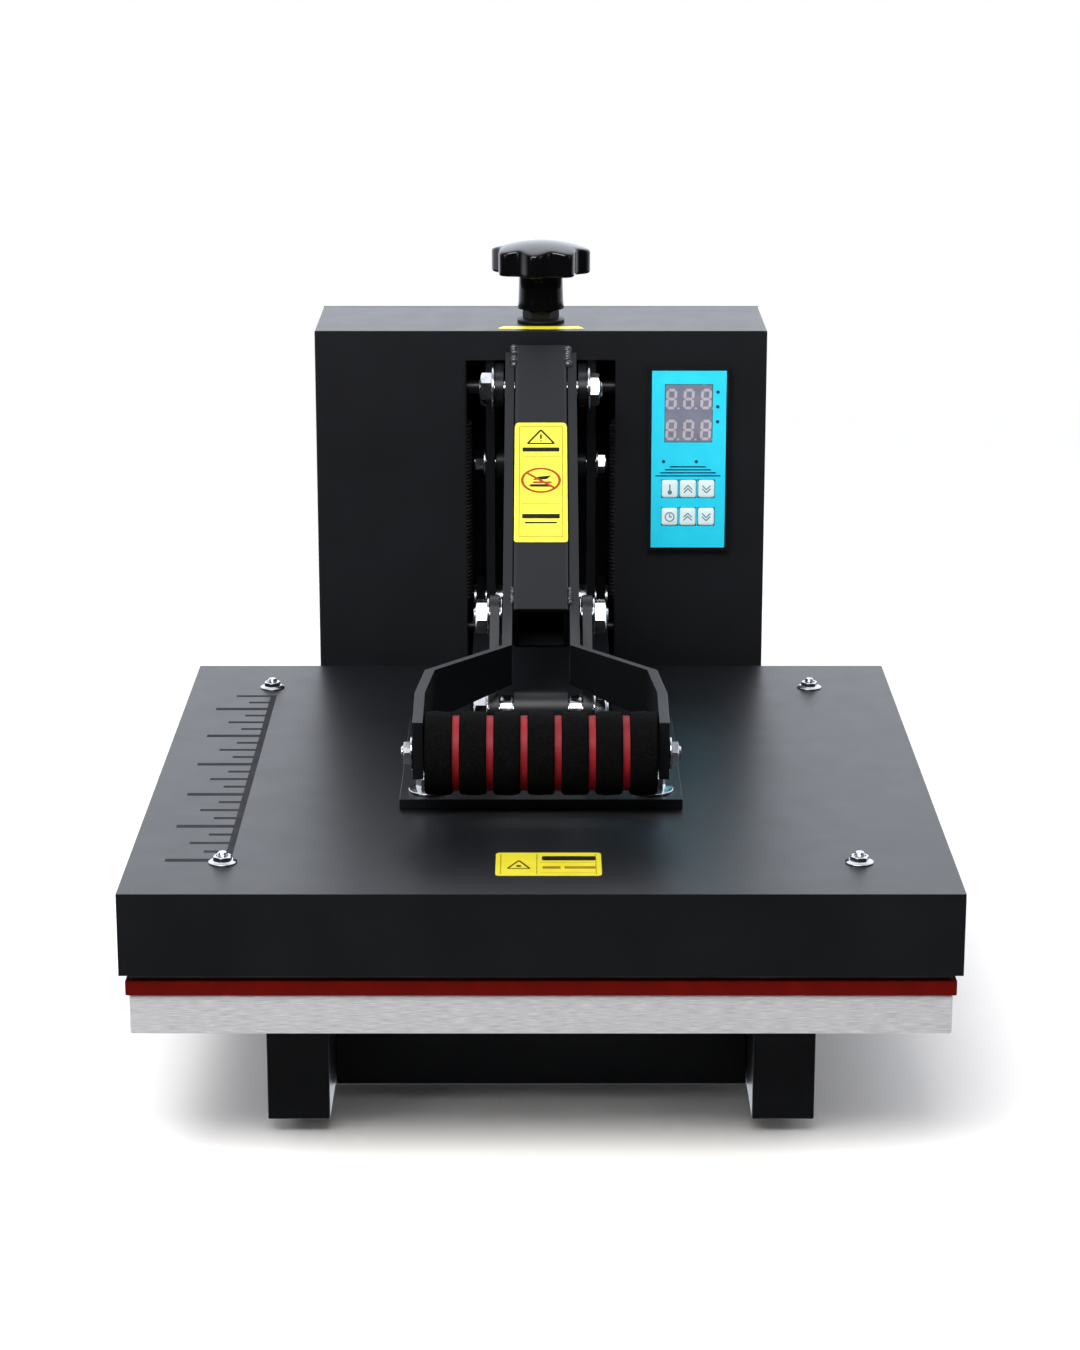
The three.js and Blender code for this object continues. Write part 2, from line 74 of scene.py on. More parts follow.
def middle(node):
    return (low(node) + high(node)) / 2


COVER_TOP = high("upper_cover").z
HOUSING_FRONT = low("housing_shell").y
HOUSING_TOP = high("housing_shell").z
PANEL_FRONT = low("control_face").y
BACK_FACE = high("back_panel").y
FLANGE_FACE = high("power_module").y
MOUNT_TOP = high("mount_plate").z
SCREW_Y = middle("pressure_screw").y

# The handle tube's front face: its upper end, and its slope towards the grip.
TUBE_SLOPE = math.radians(31.3)
TUBE_ALONG = Vector((0, -math.cos(TUBE_SLOPE), -math.sin(TUBE_SLOPE)))
TUBE_OUT = Vector((0, -math.sin(TUBE_SLOPE), math.cos(TUBE_SLOPE)))
TUBE_START = Vector((0, 149, 322.5))
TUBE_HALF = high("handle_tube").x
TUBE_LENGTH = 206


def plane(origin, right, up):
    """Local x, y and z (out of the surface) as directions in the row frame."""
    right, up = Vector(right).normalized(), Vector(up).normalized()
    out = right.cross(up)
    matrix = Matrix((right, up, out)).transposed().to_4x4()
    matrix.translation = Vector(origin)
    return matrix


def along_axis(origin, direction):
    """Local z along a direction, for turned pieces."""
    matrix = Vector(direction).to_track_quat("Z", "Y").to_matrix().to_4x4()
    matrix.translation = Vector(origin)
    return matrix


def outwards(centre, side, distance):
    """Local z along X towards one side, starting at a distance from a centre."""
    return along_axis(centre + Vector((side * distance, 0, 0)), (side, 0, 0))


def up(height):
    return Matrix.Translation((0, 0, height))


# ---- materials

def add_node(tree, kind, **values):
    """A shader node with some of its inputs set."""
    node = tree.nodes.new("ShaderNode" + kind)
    for socket, value in values.items():
        node.inputs[socket.replace("_", " ")].default_value = value
    return node


def shader_of(material):
    return material.node_tree.nodes["Principled BSDF"]


def new_material(name, roughness=0.5, metallic=0.0, **values):
    material = bpy.data.materials.new(name)
    material.use_nodes = True
    for socket, value in {"Roughness": roughness, "Metallic": metallic, **values}.items():
        shader_of(material).inputs[socket.replace("_", " ")].default_value = value
    return material


def pattern(material, size, stretch=(1, 1, 1), detail=3.0, cells=False):
    """A noise or cell pattern in object space; size is a feature's width in millimetres."""
    tree = material.node_tree
    place = add_node(tree, "TexCoord")
    mapping = add_node(tree, "Mapping", Scale=stretch)
    texture = add_node(tree, "TexVoronoi" if cells else "TexNoise", Scale=1 / (size * MM))
    if not cells:
        texture.inputs["Detail"].default_value = detail
    tree.links.new(place.outputs["Object"], mapping.inputs["Vector"])
    tree.links.new(mapping.outputs["Vector"], texture.inputs["Vector"])
    return texture.outputs["Distance" if cells else "Fac"]


def spread(material, source, start, end, low_value, high_value):
    tree = material.node_tree
    ramp = add_node(tree, "MapRange", From_Min=start, From_Max=end, To_Min=low_value, To_Max=high_value)
    tree.links.new(source, ramp.inputs["Value"])
    return ramp.outputs["Result"]


# The part of a pattern's range that is spread over a material's own range.
FADE = (0.3, 0.7)


def rough(material, low_value, high_value, size, **kind):
    source = spread(material, pattern(material, size, **kind), *FADE, low_value, high_value)
    material.node_tree.links.new(source, shader_of(material).inputs["Roughness"])


def tint(material, dark, light, size, **kind):
    tree = material.node_tree
    ramp = add_node(tree, "ValToRGB")
    for element, position, color in zip(ramp.color_ramp.elements, FADE, (dark, light)):
        element.position = position
        element.color = (*color, 1)
    tree.links.new(pattern(material, size, **kind), ramp.inputs["Fac"])
    base = shader_of(material).inputs["Base Color"]
    base.default_value = (*light, 1)
    tree.links.new(ramp.outputs["Color"], base)


def emboss(material, depth, size, **kind):
    """Bump from a pattern; depth is in millimetres."""
    tree = material.node_tree
    bump = add_node(tree, "Bump", Strength=1.0, Distance=depth * MM)
    tree.links.new(pattern(material, size, **kind), bump.inputs["Height"])
    tree.links.new(bump.outputs["Normal"], shader_of(material).inputs["Normal"])


def powder_coat(name, dark, light, gloss=0.27):
    """Satin black polyester powder with a fine orange peel."""
    material = new_material(name, Specular_IOR_Level=gloss)
    tint(material, dark, light, 55, detail=4)
    rough(material, 0.36, 0.39, 18)
    emboss(material, 0.015, 1.1, detail=2)
    return material


def brushed_steel():
    """Sheet steel brushed along X, with the soft pale look of a fine grain."""
    material = new_material("brushed_steel", metallic=0.5)
    grain = {"size": 0.5, "stretch": (0.06, 1, 1), "detail": 6}
    tint(material, (0.56, 0.56, 0.58), (0.86, 0.86, 0.87), **grain)
    rough(material, 0.38, 0.55, **grain)
    emboss(material, 0.015, **grain)
    return material


def grained_steel(name, metallic, dark, light, low_rough, high_rough, **grain):
    """Turned steel of shafts and screws, or the springs' wire made dark as painted shade."""
    material = new_material(name, metallic=metallic)
    tint(material, dark, light, **grain)
    rough(material, low_rough, high_rough, **grain)
    return material


def zinc_plate():
    material = new_material("zinc_plate", metallic=1.0)
    tint(material, (0.4, 0.42, 0.45), (0.56, 0.56, 0.56), 4)
    rough(material, 0.1, 0.24, 3)
    return material


def silicone():
    """Sponge silicone sheet."""
    material = new_material("silicone", 0.75, Specular_IOR_Level=0.04)
    tint(material, (0.078, 0.0018, 0.0007), (0.098, 0.0024, 0.0009), 14, detail=5)
    emboss(material, 0.06, 0.9, cells=True)
    return material


def gloss_black(name, gloss, coat):
    """Phenolic knob moulding."""
    material = new_material(name, Base_Color=(0.002, 0.002, 0.0025, 1), Specular_IOR_Level=gloss,
                            Coat_Weight=coat, Coat_Roughness=0.05)
    rough(material, 0.08, 0.16, 12)
    emboss(material, 0.02, 9, detail=1)
    return material


def moulded(name, dark, light, low_rough=0.4, high_rough=0.55, grain=0.35, depth=0.02):
    """Moulded plastic or rubber with a fine sparked texture."""
    material = new_material(name, Specular_IOR_Level=0.3)
    tint(material, dark, light, 22, detail=4)
    rough(material, low_rough, high_rough, 6)
    emboss(material, depth, grain, cells=True)
    return material


def foam():
    """Closed cell foam of the grip: matte, with fine pores."""
    material = new_material("foam", Specular_IOR_Level=0.05)
    tint(material, (0.0012, 0.0012, 0.0012), (0.0036, 0.0036, 0.0036), 0.8, cells=True)
    rough(material, 0.86, 0.98, 1.5)
    emboss(material, 0.07, 0.6, cells=True)
    return material


def printed(name, dark, light, roughness=0.35, gloss=0.5):
    """Ink or film: even, with a slight mottle."""
    material = new_material(name, Specular_IOR_Level=gloss)
    tint(material, dark, light, 9)
    rough(material, roughness - 0.06, roughness + 0.08, 5)
    return material


def matte_ink():
    """The dull grey ink of the scale on the cover."""
    material = new_material("scale_ink", 0.95, Specular_IOR_Level=0.08)
    tint(material, (0.026, 0.027, 0.032), (0.038, 0.039, 0.045), 9)
    emboss(material, 0.05, 0.5)
    return material


def fibre_mat():
    material = new_material("fibre_mat", 0.95)
    strands = {"size": 1.4, "stretch": (1, 1, 0.2), "detail": 6}
    tint(material, (0.42, 0.38, 0.3), (0.72, 0.68, 0.58), **strands)
    emboss(material, 0.3, **strands)
    return material


def coated_plate():
    """Cast aluminium under a dark non-stick coat."""
    material = new_material("coated_plate", metallic=0.3)
    tint(material, (0.028, 0.027, 0.026), (0.05, 0.049, 0.047), 30, detail=5)
    rough(material, 0.32, 0.48, 8)
    emboss(material, 0.02, 1.4)
    return material


COAT = powder_coat("powder_coat", (0.0048, 0.0052, 0.0065), (0.0068, 0.0074, 0.0092))
# The handle tube's and side bars' coat is a darker copy of the same black powder coat: painted shade. It is
# also a little less glossy.
HANDLE_PAINTED_SHADE_COAT = powder_coat("handle_painted_shade_coat", (0.0038, 0.0046, 0.0052), (0.0054, 0.0064, 0.0074), 0.215)
# The housing's coat is a lighter copy of the same black powder coat: painted light, for a housing front that
# catches more light than the cover front.
HOUSING_PAINTED_LIGHT_COAT = powder_coat("housing_painted_light_coat", (0.0088, 0.0092, 0.0112), (0.0112, 0.0118, 0.0142))
BRUSHED = brushed_steel()
STEEL = grained_steel("turned_steel", 1.0, (0.5, 0.5, 0.51), (0.68, 0.68, 0.68), 0.22, 0.38, size=2.5,
                      detail=5)
# The springs' wire is made dark as painted shade, for the shade inside the housing where they hang.
SHADED_COIL_WIRE = grained_steel("coil_wire_painted_shade", 0.9, (0.06, 0.06, 0.065), (0.14, 0.14, 0.145), 0.32, 0.48,
                       size=2, detail=4)
ZINC = zinc_plate()
SILICONE = silicone()
KNOB = gloss_black("gloss_black", 0.38, 0.12)
KNOB_SHANK = gloss_black("dull_black", 0.15, 0.0)
FOAM = foam()
RED_SLEEVE = moulded("red_sleeve", (0.17, 0.0008, 0.005), (0.27, 0.0012, 0.008), 0.5, 0.65)
BLACK_PLASTIC = moulded("black_plastic", (0.003, 0.003, 0.004), (0.006, 0.006, 0.008))
RUBBER = moulded("foot_rubber", (0.008, 0.008, 0.008), (0.018, 0.018, 0.018), 0.7, 0.85)
RELAY = moulded("relay_plastic", (0.5, 0.5, 0.46), (0.62, 0.62, 0.58))
ROCKER = moulded("rocker_red", (0.4, 0.006, 0.008), (0.52, 0.012, 0.014), 0.2, 0.3)
PANEL = printed("panel_film", (0.012, 0.7, 0.96), (0.018, 0.76, 1.0), 0.4)
WINDOW = printed("display_window", (0.19, 0.2, 0.27), (0.25, 0.26, 0.33), 0.2)
SEGMENT = printed("display_segment", (0.46, 0.42, 0.48), (0.56, 0.52, 0.57), 0.35)
KEY = moulded("button_film", (0.78, 0.95, 0.98), (0.86, 0.98, 0.99), 0.35, 0.45, 0.5, 0.01)
NAVY = printed("panel_ink", (0.001, 0.03, 0.1), (0.002, 0.05, 0.15), 0.4)
KEY_INK = printed("button_ink", (0.05, 0.22, 0.3), (0.08, 0.28, 0.36), 0.4)
YELLOW = printed("label_yellow", (0.93, 0.8, 0.02), (1.0, 0.88, 0.045), 0.35)
COVER_YELLOW = printed("cover_yellow", (0.6, 0.52, 0.012), (0.66, 0.57, 0.028), 0.35)
YELLOW_LINE = printed("label_line", (0.27, 0.23, 0.008), (0.34, 0.29, 0.012), 0.4, 0.3)
INK = printed("label_ink", (0.004, 0.004, 0.003), (0.009, 0.008, 0.006), 0.5, 0.12)
RED_INK = printed("label_red", (0.33, 0.035, 0.004), (0.4, 0.055, 0.008), 0.45, 0.2)
OCHRE_INK = printed("label_ochre", (0.24, 0.12, 0.006), (0.3, 0.16, 0.01), 0.45, 0.2)
# The welds carry the same black coat. Their lighter colour is a painted highlight, and their higher gloss is
# the thick coat's own.
WELD = printed("bead_coat_painted_highlight", (0.016, 0.017, 0.02), (0.04, 0.042, 0.048), 0.22, 0.6)
GREY_INK = matte_ink()
PTFE = coated_plate()
FIBRE = fibre_mat()


# ---- shapes

class Shape:
    """Closed surfaces gathered into one mesh, in millimetres."""

    def __init__(self):
        self.points = []
        self.faces = []

    def add(self, points, faces, matrix=None):
        start = len(self.points)
        matrix = matrix or Matrix()
        self.points += [matrix @ Vector(p) for p in points]
        self.faces += [[start + i for i in face] for face in faces]
        return self


def bridge(one, two):
    """Faces between two rings of vertex numbers; a ring of one is a pole."""
    count = max(len(one), len(two))
    faces = []
    for i in range(count):
        j = (i + 1) % count
        corners = [one[i % len(one)], one[j % len(one)], two[j % len(two)], two[i % len(two)]]
        faces.append(list(dict.fromkeys(corners)))
    return faces


def loft(shape, rings, matrix=None, closed=False):
    """A skin over rings of points. Open lofts end in a pole or a flat face."""
    points, index = [], []
    for ring in rings:
        index.append(list(range(len(points), len(points) + len(ring))))
        points += ring
    pairs = list(zip(index, index[1:]))
    if closed:
        pairs.append((index[-1], index[0]))
    faces = [face for one, two in pairs for face in bridge(one, two)]
    if not closed:
        faces += [ring for ring in (index[0][::-1], index[-1]) if len(ring) > 2]
    return shape.add(points, faces, matrix)


def circle(radius, height, segments=48):
    if radius < 1e-6:
        return [(0, 0, height)]
    turn = 2 * math.pi / segments
    return [(radius * math.cos(i * turn), radius * math.sin(i * turn), height)
            for i in range(segments)]


def fillet(points, radius, steps=4):
    """Rounds the inner corners of an open outline."""
    result = [points[0]]
    for before, corner, after in zip(points, points[1:], points[2:]):
        a, b, c = (Vector(p) for p in (before, corner, after))
        reach = min(radius, (a - b).length * 0.45, (c - b).length * 0.45)
        start = b + (a - b).normalized() * reach
        end = b + (c - b).normalized() * reach
        for i in range(steps + 1):
            t = i / steps
            result.append(tuple(start * (1 - t) ** 2 + b * 2 * t * (1 - t) + end * t * t))
    result.append(points[-1])
    return result


def both_ends(profile):
    """One end's profile, from the middle outwards, and the same mirrored about local z 0."""
    return [(radius, -height) for radius, height in profile] + profile[::-1]


def lathe(shape, profile, matrix=None, segments=48, closed=False):
    """A profile of (radius, height) turned about local z."""
    rings = [circle(max(r, 1e-4) if closed else r, h, segments) for r, h in profile]
    return loft(shape, rings, matrix, closed)


def hex_head(shape, corner, height, matrix=None, hollow=0.0, turn=0.0):
    """A hexagon whose upper corners are turned off at 30 degrees, with an optional bore rim."""
    count = 48
    edge = 0.25
    flat = corner * math.cos(math.pi / 6)
    angles = [2 * math.pi * i / count for i in range(count)]

    def ring(radius_of, height_of):
        return [(radius_of(a) * math.cos(a + turn), radius_of(a) * math.sin(a + turn), height_of(a))
                for a in angles]

    def side(a):
        from_flat = (a + math.pi / 6) % (math.pi / 3) - math.pi / 6
        return flat / math.cos(from_flat) - edge * (1 - math.cos(a * 6)) / 6

    def shoulder(a):
        return height - (side(a) - flat * 0.94) * math.tan(math.radians(30))

    rings = [ring(side, lambda a: 0), ring(side, shoulder),
             ring(lambda a: flat * 0.94, lambda a: height)]
    if hollow:
        rings += [ring(lambda a: hollow + 0.5, lambda a: height),
                  ring(lambda a: hollow, lambda a: height - 0.6)]
    return loft(shape, rings, matrix)


def washer(shape, radius, thickness, bore=0.0, matrix=None):
    """A washer with soft edges, standing on local z 0."""
    outside = [(bore, 0), (radius, 0), (radius, thickness * 0.7),
               (max(bore, radius * 0.62), thickness), (bore, thickness)]
    return lathe(shape, fillet(outside, min(0.35, thickness * 0.4)), matrix, 56, closed=bore > 0)


def thread(shape, radius, z0, z1, pitch, matrix=None, segments=24):
    """A threaded rod: the ridge climbs one pitch in each turn."""
    rows = max(4, int((z1 - z0) / pitch * 6))
    depth = pitch * 0.45
    rings = [circle(radius - depth - 0.3, z0, segments)]
    for row in range(rows + 1):
        z = z0 + (z1 - z0) * row / rows
        ring = []
        for i in range(segments):
            a = 2 * math.pi * i / segments
            wave = abs(((z / pitch - i / segments) % 1) * 2 - 1)
            end = min(1.0, (z1 - z) / pitch * 2)
            r = radius - depth * (1 - wave * end)
            ring.append((r * math.cos(a), r * math.sin(a), z))
        rings.append(ring)
    rings.append(circle(radius - depth - 0.3, z1 + 0.3, segments))
    return loft(shape, rings, matrix)


def sweep(shape, path, radius, sides=10):
    """A round tube along points."""
    path = [Vector(p) for p in path]
    rings = []
    normal = None
    for i, point in enumerate(path):
        ahead = path[min(i + 1, len(path) - 1)]
        behind = path[max(i - 1, 0)]
        forward = (ahead - behind).normalized()
        if normal is None:
            normal = forward.orthogonal().normalized()
        normal = (normal - forward * normal.dot(forward)).normalized()
        other = forward.cross(normal)
        rings.append([tuple(point + (normal * math.cos(a) + other * math.sin(a)) * radius)
                      for a in (2 * math.pi * k / sides for k in range(sides))])
    return loft(shape, rings)


def slab(shape, outline, thickness, matrix=None, base=0.0):
    """A flat outline given a thickness along local z."""
    bottom = [(x, y, base) for x, y in outline]
    top = [(x, y, base + thickness) for x, y in outline]
    return loft(shape, [bottom, top], matrix)


def rounded_box(width, height, radius, steps=5):
    """The outline of a rectangle with round corners, centred on 0."""
    outline = []
    for quarter, (sx, sy) in enumerate(((1, -1), (1, 1), (-1, 1), (-1, -1))):
        cx, cy = sx * (width / 2 - radius), sy * (height / 2 - radius)
        for i in range(steps + 1):
            a = math.pi / 2 * (quarter - 1 + i / steps)
            outline.append((cx + radius * math.cos(a), cy + radius * math.sin(a)))
    return outline


def stepped_box(shape, size, corner, steps, place):
    """A block with round corners, narrower by its steps' insets as they rise along local z."""
    rings = [[(x, y, rise) for x, y in
              rounded_box(size[0] - 2 * inset, size[1] - 2 * inset, corner(inset))] for inset, rise in steps]
    return loft(shape, rings, place)


class Print:
    """Thin printed marks on one surface, all at one level above it."""

    def __init__(self, place, level=0.0, thickness=0.06):
        self.shape = Shape()
        self.place = place
        self.level = level
        self.thickness = thickness

    def area(self, outline):
        slab(self.shape, outline, self.thickness, self.place, self.level)

    def patch(self, x, y, width, height, radius):
        """A filled rectangle with round corners."""
        self.area([(px + x, py + y) for px, py in rounded_box(width, height, radius)])

    def line(self, start, end, width):
        """A line with pointed ends."""
        a, b = Vector(start), Vector(end)
        forward = (b - a).normalized()
        across = Vector((-forward.y, forward.x)) * width / 2
        tip = forward * width / 2
        self.area([tuple(p) for p in (
            a - tip * 0.6, a + tip * 0.4 - across, b - tip * 0.4 - across, b + tip * 0.6,
            b - tip * 0.4 + across, a + tip * 0.4 + across)])

    def outline(self, corners, width):
        for start, end in zip(corners, corners[1:] + corners[:1]):
            self.line(start, end, width)

    def ring(self, centre, outer, inner, squash=1.0):
        """A ring, or an oval when squash is below 1."""
        place = self.place @ Matrix.Translation((*centre, self.level)) @ Matrix.Diagonal((1, squash, 1, 1))
        profile = [(inner, 0), (outer, 0), (outer, self.thickness), (inner, self.thickness)]
        lathe(self.shape, profile, place, 40, closed=True)


# ---- making pieces

def add_object(name, data):
    thing = bpy.data.objects.new(name, data)
    bpy.context.scene.collection.objects.link(thing)
    return thing


def make(name, shape, material, body, replaces=(), smooth=34):
    """Turns a shape into an object that rides on a body."""
    mesh = bpy.data.meshes.new(name)
    mesh.from_pydata([p * MM for p in shape.points], [], shape.faces)
    mesh.validate()
    mesh.materials.append(material)
    mesh.polygons.foreach_set("use_smooth", [True] * len(mesh.polygons))
    mesh.set_sharp_from_angle(angle=math.radians(smooth))
    piece = add_object(name, mesh)
    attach(piece, body)
    if replaces:
        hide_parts(*replaces)
    return piece


def keep(node, material, bevel=0.0, segments=3):
    """A CAD node that stays, with its finish and its edges broken."""
    piece = nodes[node]
    if not piece.material_slots:
        piece.data.materials.append(material)
    for material_slot in piece.material_slots:
        material_slot.material = material
    piece.data.polygons.foreach_set("use_smooth", [bool(bevel)] * len(piece.data.polygons))
    if bevel:
        weld = piece.modifiers.new("weld", "WELD")
        weld.merge_threshold = 1e-5
        flat = piece.modifiers.new("flat", "DECIMATE")
        flat.decimate_type = "DISSOLVE"
        flat.angle_limit = math.radians(1)
        edge = piece.modifiers.new("edge", "BEVEL")
        edge.width = bevel * MM
        edge.segments = segments
        edge.limit_method = "ANGLE"
        edge.angle_limit = math.radians(32)
        edge.harden_normals = True
        edge.miter_outer = "MITER_ARC"
        even = piece.modifiers.new("even", "WEIGHTED_NORMAL")
        even.weight = 100
        even.keep_sharp = True


# ---- camera, light and floor

def make_camera():
    """At the photograph's angle: straight in front, looking down by 15.7 degrees."""
    data = bpy.data.cameras.new("camera")
    data.sensor_width = 36
    data.lens = 87.47
    camera = add_object("camera", data)
    cover_low, cover_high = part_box("upper_cover")
    camera.location = (-0.0005, cover_low.y - 1.41866, cover_high.z + 0.5037)
    camera.rotation_euler = (math.radians(74.277), 0, 0)
    bpy.context.scene.camera = camera


def make_floor():
    mesh = bpy.data.meshes.new("floor")
    reach = 30
    mesh.from_pydata([(-reach, -reach, 0), (reach, -reach, 0), (reach, reach, 0), (-reach, reach, 0)],
                     [], [(0, 1, 2, 3)])
    material = new_material("floor", 0.9, Specular_IOR_Level=0.0)
    tint(material, (0.965, 0.94, 0.905), (0.975, 0.95, 0.915), 400)
    fade_to_white(material, 0.75, 1.7)
    mesh.materials.append(material)
    floor = add_object("floor", mesh)
    floor.location.z = -0.0004
    floor.visible_glossy = False


def fade_to_white(material, start, end):
    """Away from the object the floor runs out into the plain white of the studio."""
    tree = material.node_tree
    place = add_node(tree, "TexCoord")
    distance = add_node(tree, "VectorMath")
    distance.operation = "LENGTH"
    tree.links.new(place.outputs["Object"], distance.inputs[0])
    share = spread(material, distance.outputs["Value"], start, end, 0, 1)
    mix_shaders(tree, share, shader_of(material), add_node(tree, "Emission"), "Material Output")


def mix_shaders(tree, share, first, second, output):
    mix = add_node(tree, "MixShader")
    for index, source in enumerate((share, first.outputs[0], second.outputs[0])):
        tree.links.new(source, mix.inputs[index])
    tree.links.new(mix.outputs["Shader"], tree.nodes[output].inputs["Surface"])


# The studio's brightness towards the front, behind, and added overhead.
FRONT_LIGHT = 0.03
REAR_LIGHT = 2.05
TOP_LIGHT = 0.35


def make_sky():
    """A white studio: bright behind, dim in front, and plain white where it is seen itself."""
    world = bpy.data.worlds.new("studio")
    bpy.context.scene.world = world
    world.use_nodes = True
    tree = world.node_tree
    studio = tree.nodes["Background"]
    studio.inputs["Color"].default_value = (0.93, 0.97, 1.06, 1)
    place = add_node(tree, "TexCoord")
    parts = add_node(tree, "SeparateXYZ")
    tree.links.new(place.outputs["Generated"], parts.inputs["Vector"])
    behind = add_node(tree, "MapRange", From_Min=-0.2, From_Max=0.85, To_Min=FRONT_LIGHT,
                      To_Max=REAR_LIGHT)
    above = add_node(tree, "MapRange", From_Min=0.4, From_Max=0.9, To_Min=0.0, To_Max=TOP_LIGHT)
    level = add_node(tree, "Math")
    for index, (axis, ramp) in enumerate((("Y", behind), ("Z", above))):
        ramp.interpolation_type = "SMOOTHSTEP"
        tree.links.new(parts.outputs[axis], ramp.inputs["Value"])
        tree.links.new(ramp.outputs["Result"], level.inputs[index])
    tree.links.new(level.outputs["Value"], studio.inputs["Strength"])
    seen = add_node(tree, "Background", Color=(1, 1, 1, 1))
    path = add_node(tree, "LightPath")
    mix_shaders(tree, path.outputs["Is Camera Ray"], studio, seen, "World Output")


# What the lights point at.
LIT_POINT = Vector((0, 0, 0.2))


def make_light(name, location, size, power):
    data = bpy.data.lights.new(name, "AREA")
    data.energy = power
    data.shape = "RECTANGLE"
    data.size, data.size_y = size
    light = add_object(name, data)
    light.location = location
    light.rotation_euler = (LIT_POINT - light.location).to_track_quat("-Z", "Y").to_euler()


def make_lights():
    make_light("overhead", (0, 0.25, 2.6), (2.4, 2.4), 4)
    make_light("front_softbox", (-0.3, -1.0, 1.5), (1.3, 0.9), 31.5)
    make_light("key_left", (-1.9, -1.6, 1.0), (0.9, 1.4), 9)
    make_light("fill_right", (2.2, -1.3, 1.0), (0.9, 1.4), 4)


# ---- stand and platens

def dress_stand():
    for name, _ in SIDES:
        keep(f"rail_{name}", COAT, 1.2)
    for place in PLACES:
        keep(f"crossbar_{place}", COAT, 1.2)
        for name, _ in SIDES:
            rubber_foot(f"foot_{place}_{name}")
    for name, _ in SIDES:
        rail_cap(name)


def rubber_foot(node):
    """A tapered foot with a hollow sole and a moulded rim."""
    centre = middle(node)
    base, top = low(node).z, high(node).z
    outer = high(node).x - centre.x
    profile = [(0, base + 2.2), (outer * 0.45, base + 2.2), (outer * 0.52, base),
               (outer * 0.85, base), (outer * 0.93, base + 2), (outer, top - 1.2),
               (outer, top), (0, top)]
    rounded = fillet(profile, 0.9)
    shape = lathe(Shape(), rounded, Matrix.Translation((centre.x, centre.y, 0)))
    make(f"{node}_moulded", shape, RUBBER, "base", [node])


def rail_cap(name):
    """The plug that closes a rail's rear end."""
    node = f"rail_{name}"
    centre = middle(node)
    wall, sunk = 2.2, 0.3
    width = high(node).x - low(node).x - 2 * wall
    height = high(node).z - low(node).z - 2 * wall
    place = plane((centre.x, high(node).y - sunk, centre.z), (-1, 0, 0), (0, 0, 1))
    steps = (1.6, -9), (0, -8), (0, -0.8), (0.8, 0), (4, 0), (5, -0.9)
    shape = stepped_box(Shape(), (width, height), lambda inset: 2.4 - inset * 0.25, steps, place)
    make(f"rail_plug_{name}", shape, BLACK_PLASTIC, "base", ())


def dress_platens():
    keep("lower_tray", BRUSHED, 0.9)
    keep("silicone_pad", SILICONE, 0.7)
    keep("upper_cover", COAT, 1.3, 4)
    keep("heating_plate", PTFE, 0.8)
    keep("insulation_mat", FIBRE)
    keep("mount_plate", COAT, 0.6)
    keep("link_bracket", COAT, 0.5)
    keep("platen_arms", COAT, 0.6)


# ---- housing

def dress_housing():
    keep("housing_shell", HOUSING_PAINTED_LIGHT_COAT, 1.3, 4)
    keep("back_panel", COAT)
    for name, _ in SIDES:
        keep(f"upright_{name}", COAT, 0.5)
    keep("control_relay", RELAY, 0.8)
    half = high("hinge_shaft").x
    end = [(0, half), (7, half), (8, half - 1), (8, half - 2.2), (7, half - 2.3), (7, half - 3.4),
           (8, half - 3.5)]
    shaft = lathe(Shape(), both_ends(end), along_axis(middle("hinge_shaft"), (1, 0, 0)))
    make("hinge_shaft_turned", shaft, STEEL, "base", ["hinge_shaft"])
    vent_shade_sheet()
    back_screws()
    power_details()


def vent_shade_sheet():
    """A black foam sheet behind the vents: painted shade where the housing's inside is in shade."""
    width, height, below_top = 90, 62, 45
    place = plane((0, low("back_panel").y - 0.1, high("back_panel").z - below_top), (1, 0, 0), (0, 0, 1))
    sheet = slab(Shape(), rounded_box(width, height, 2), 1.2, place)
    make("vent_shade_sheet", sheet, FOAM, "base", ())


def recess_cross(shape, place, height, reach=1.7, width=0.55):
    for turn in (0, math.pi / 2):
        spin = place @ Matrix.Rotation(turn + math.pi / 4, 4, "Z")
        slab(shape, rounded_box(2 * reach, width, width * 0.45), 0.06, spin, height - 0.02)


def back_screws():
    """Eight screws round the back panel's edge."""
    heads, crosses = Shape(), Shape()
    edge, radius, height = 7, 3.4, 1.7
    pan = fillet([(0, height), (radius * 0.55, height), (radius, height * 0.45), (radius, 0)], 1.2)
    x_out = high("back_panel").x - edge
    z_low, z_high = low("back_panel").z + edge, high("back_panel").z - edge
    for x in (-x_out, 0, x_out):
        for z in (z_low, (z_low + z_high) / 2, z_high):
            if x == 0 and z_low < z < z_high:
                continue
            place = plane((x, BACK_FACE, z), (-1, 0, 0), (0, 0, 1))
            lathe(heads, [*pan[:0:-1], (0, height)], place, 40)
            recess_cross(crosses, place, height)
    make("back_panel_screws", heads, ZINC, "base", ())
    make("back_panel_screw_recesses", crosses, INK, "base", ())


def power_details():
    keep("power_module", BLACK_PLASTIC)
    keep("power_rocker", ROCKER, 0.5)
    x = middle("power_module").x
    pins = Shape()
    inlet_z = 110
    for dx, dz in ((-5.5, -2), (5.5, -2), (0, 2.6)):
        place = plane((x + dx, FLANGE_FACE - 14.5, inlet_z + dz), (-1, 0, 0), (0, 0, 1))
        outline = rounded_box(1.9, 4.4, 0.7)
        tip = rounded_box(1.2, 3.6, 0.5)
        loft(pins, [[(a, b, 0) for a, b in outline], [(a, b, 9.5) for a, b in outline],
                    [(a, b, 10.4) for a, b in tip]], place)
    make("inlet_pins", pins, ZINC, "base", ())


# ---- control unit

def dress_controls():
    keep("control_case", BLACK_PLASTIC)
    keep("control_face", PANEL)
    keep("display", WINDOW)
    display_digits()
    panel_print()
    for row in ("temperature", "timer"):
        for kind in ("mode", "up", "down"):
            button(f"button_{row}_{kind}", kind, row)


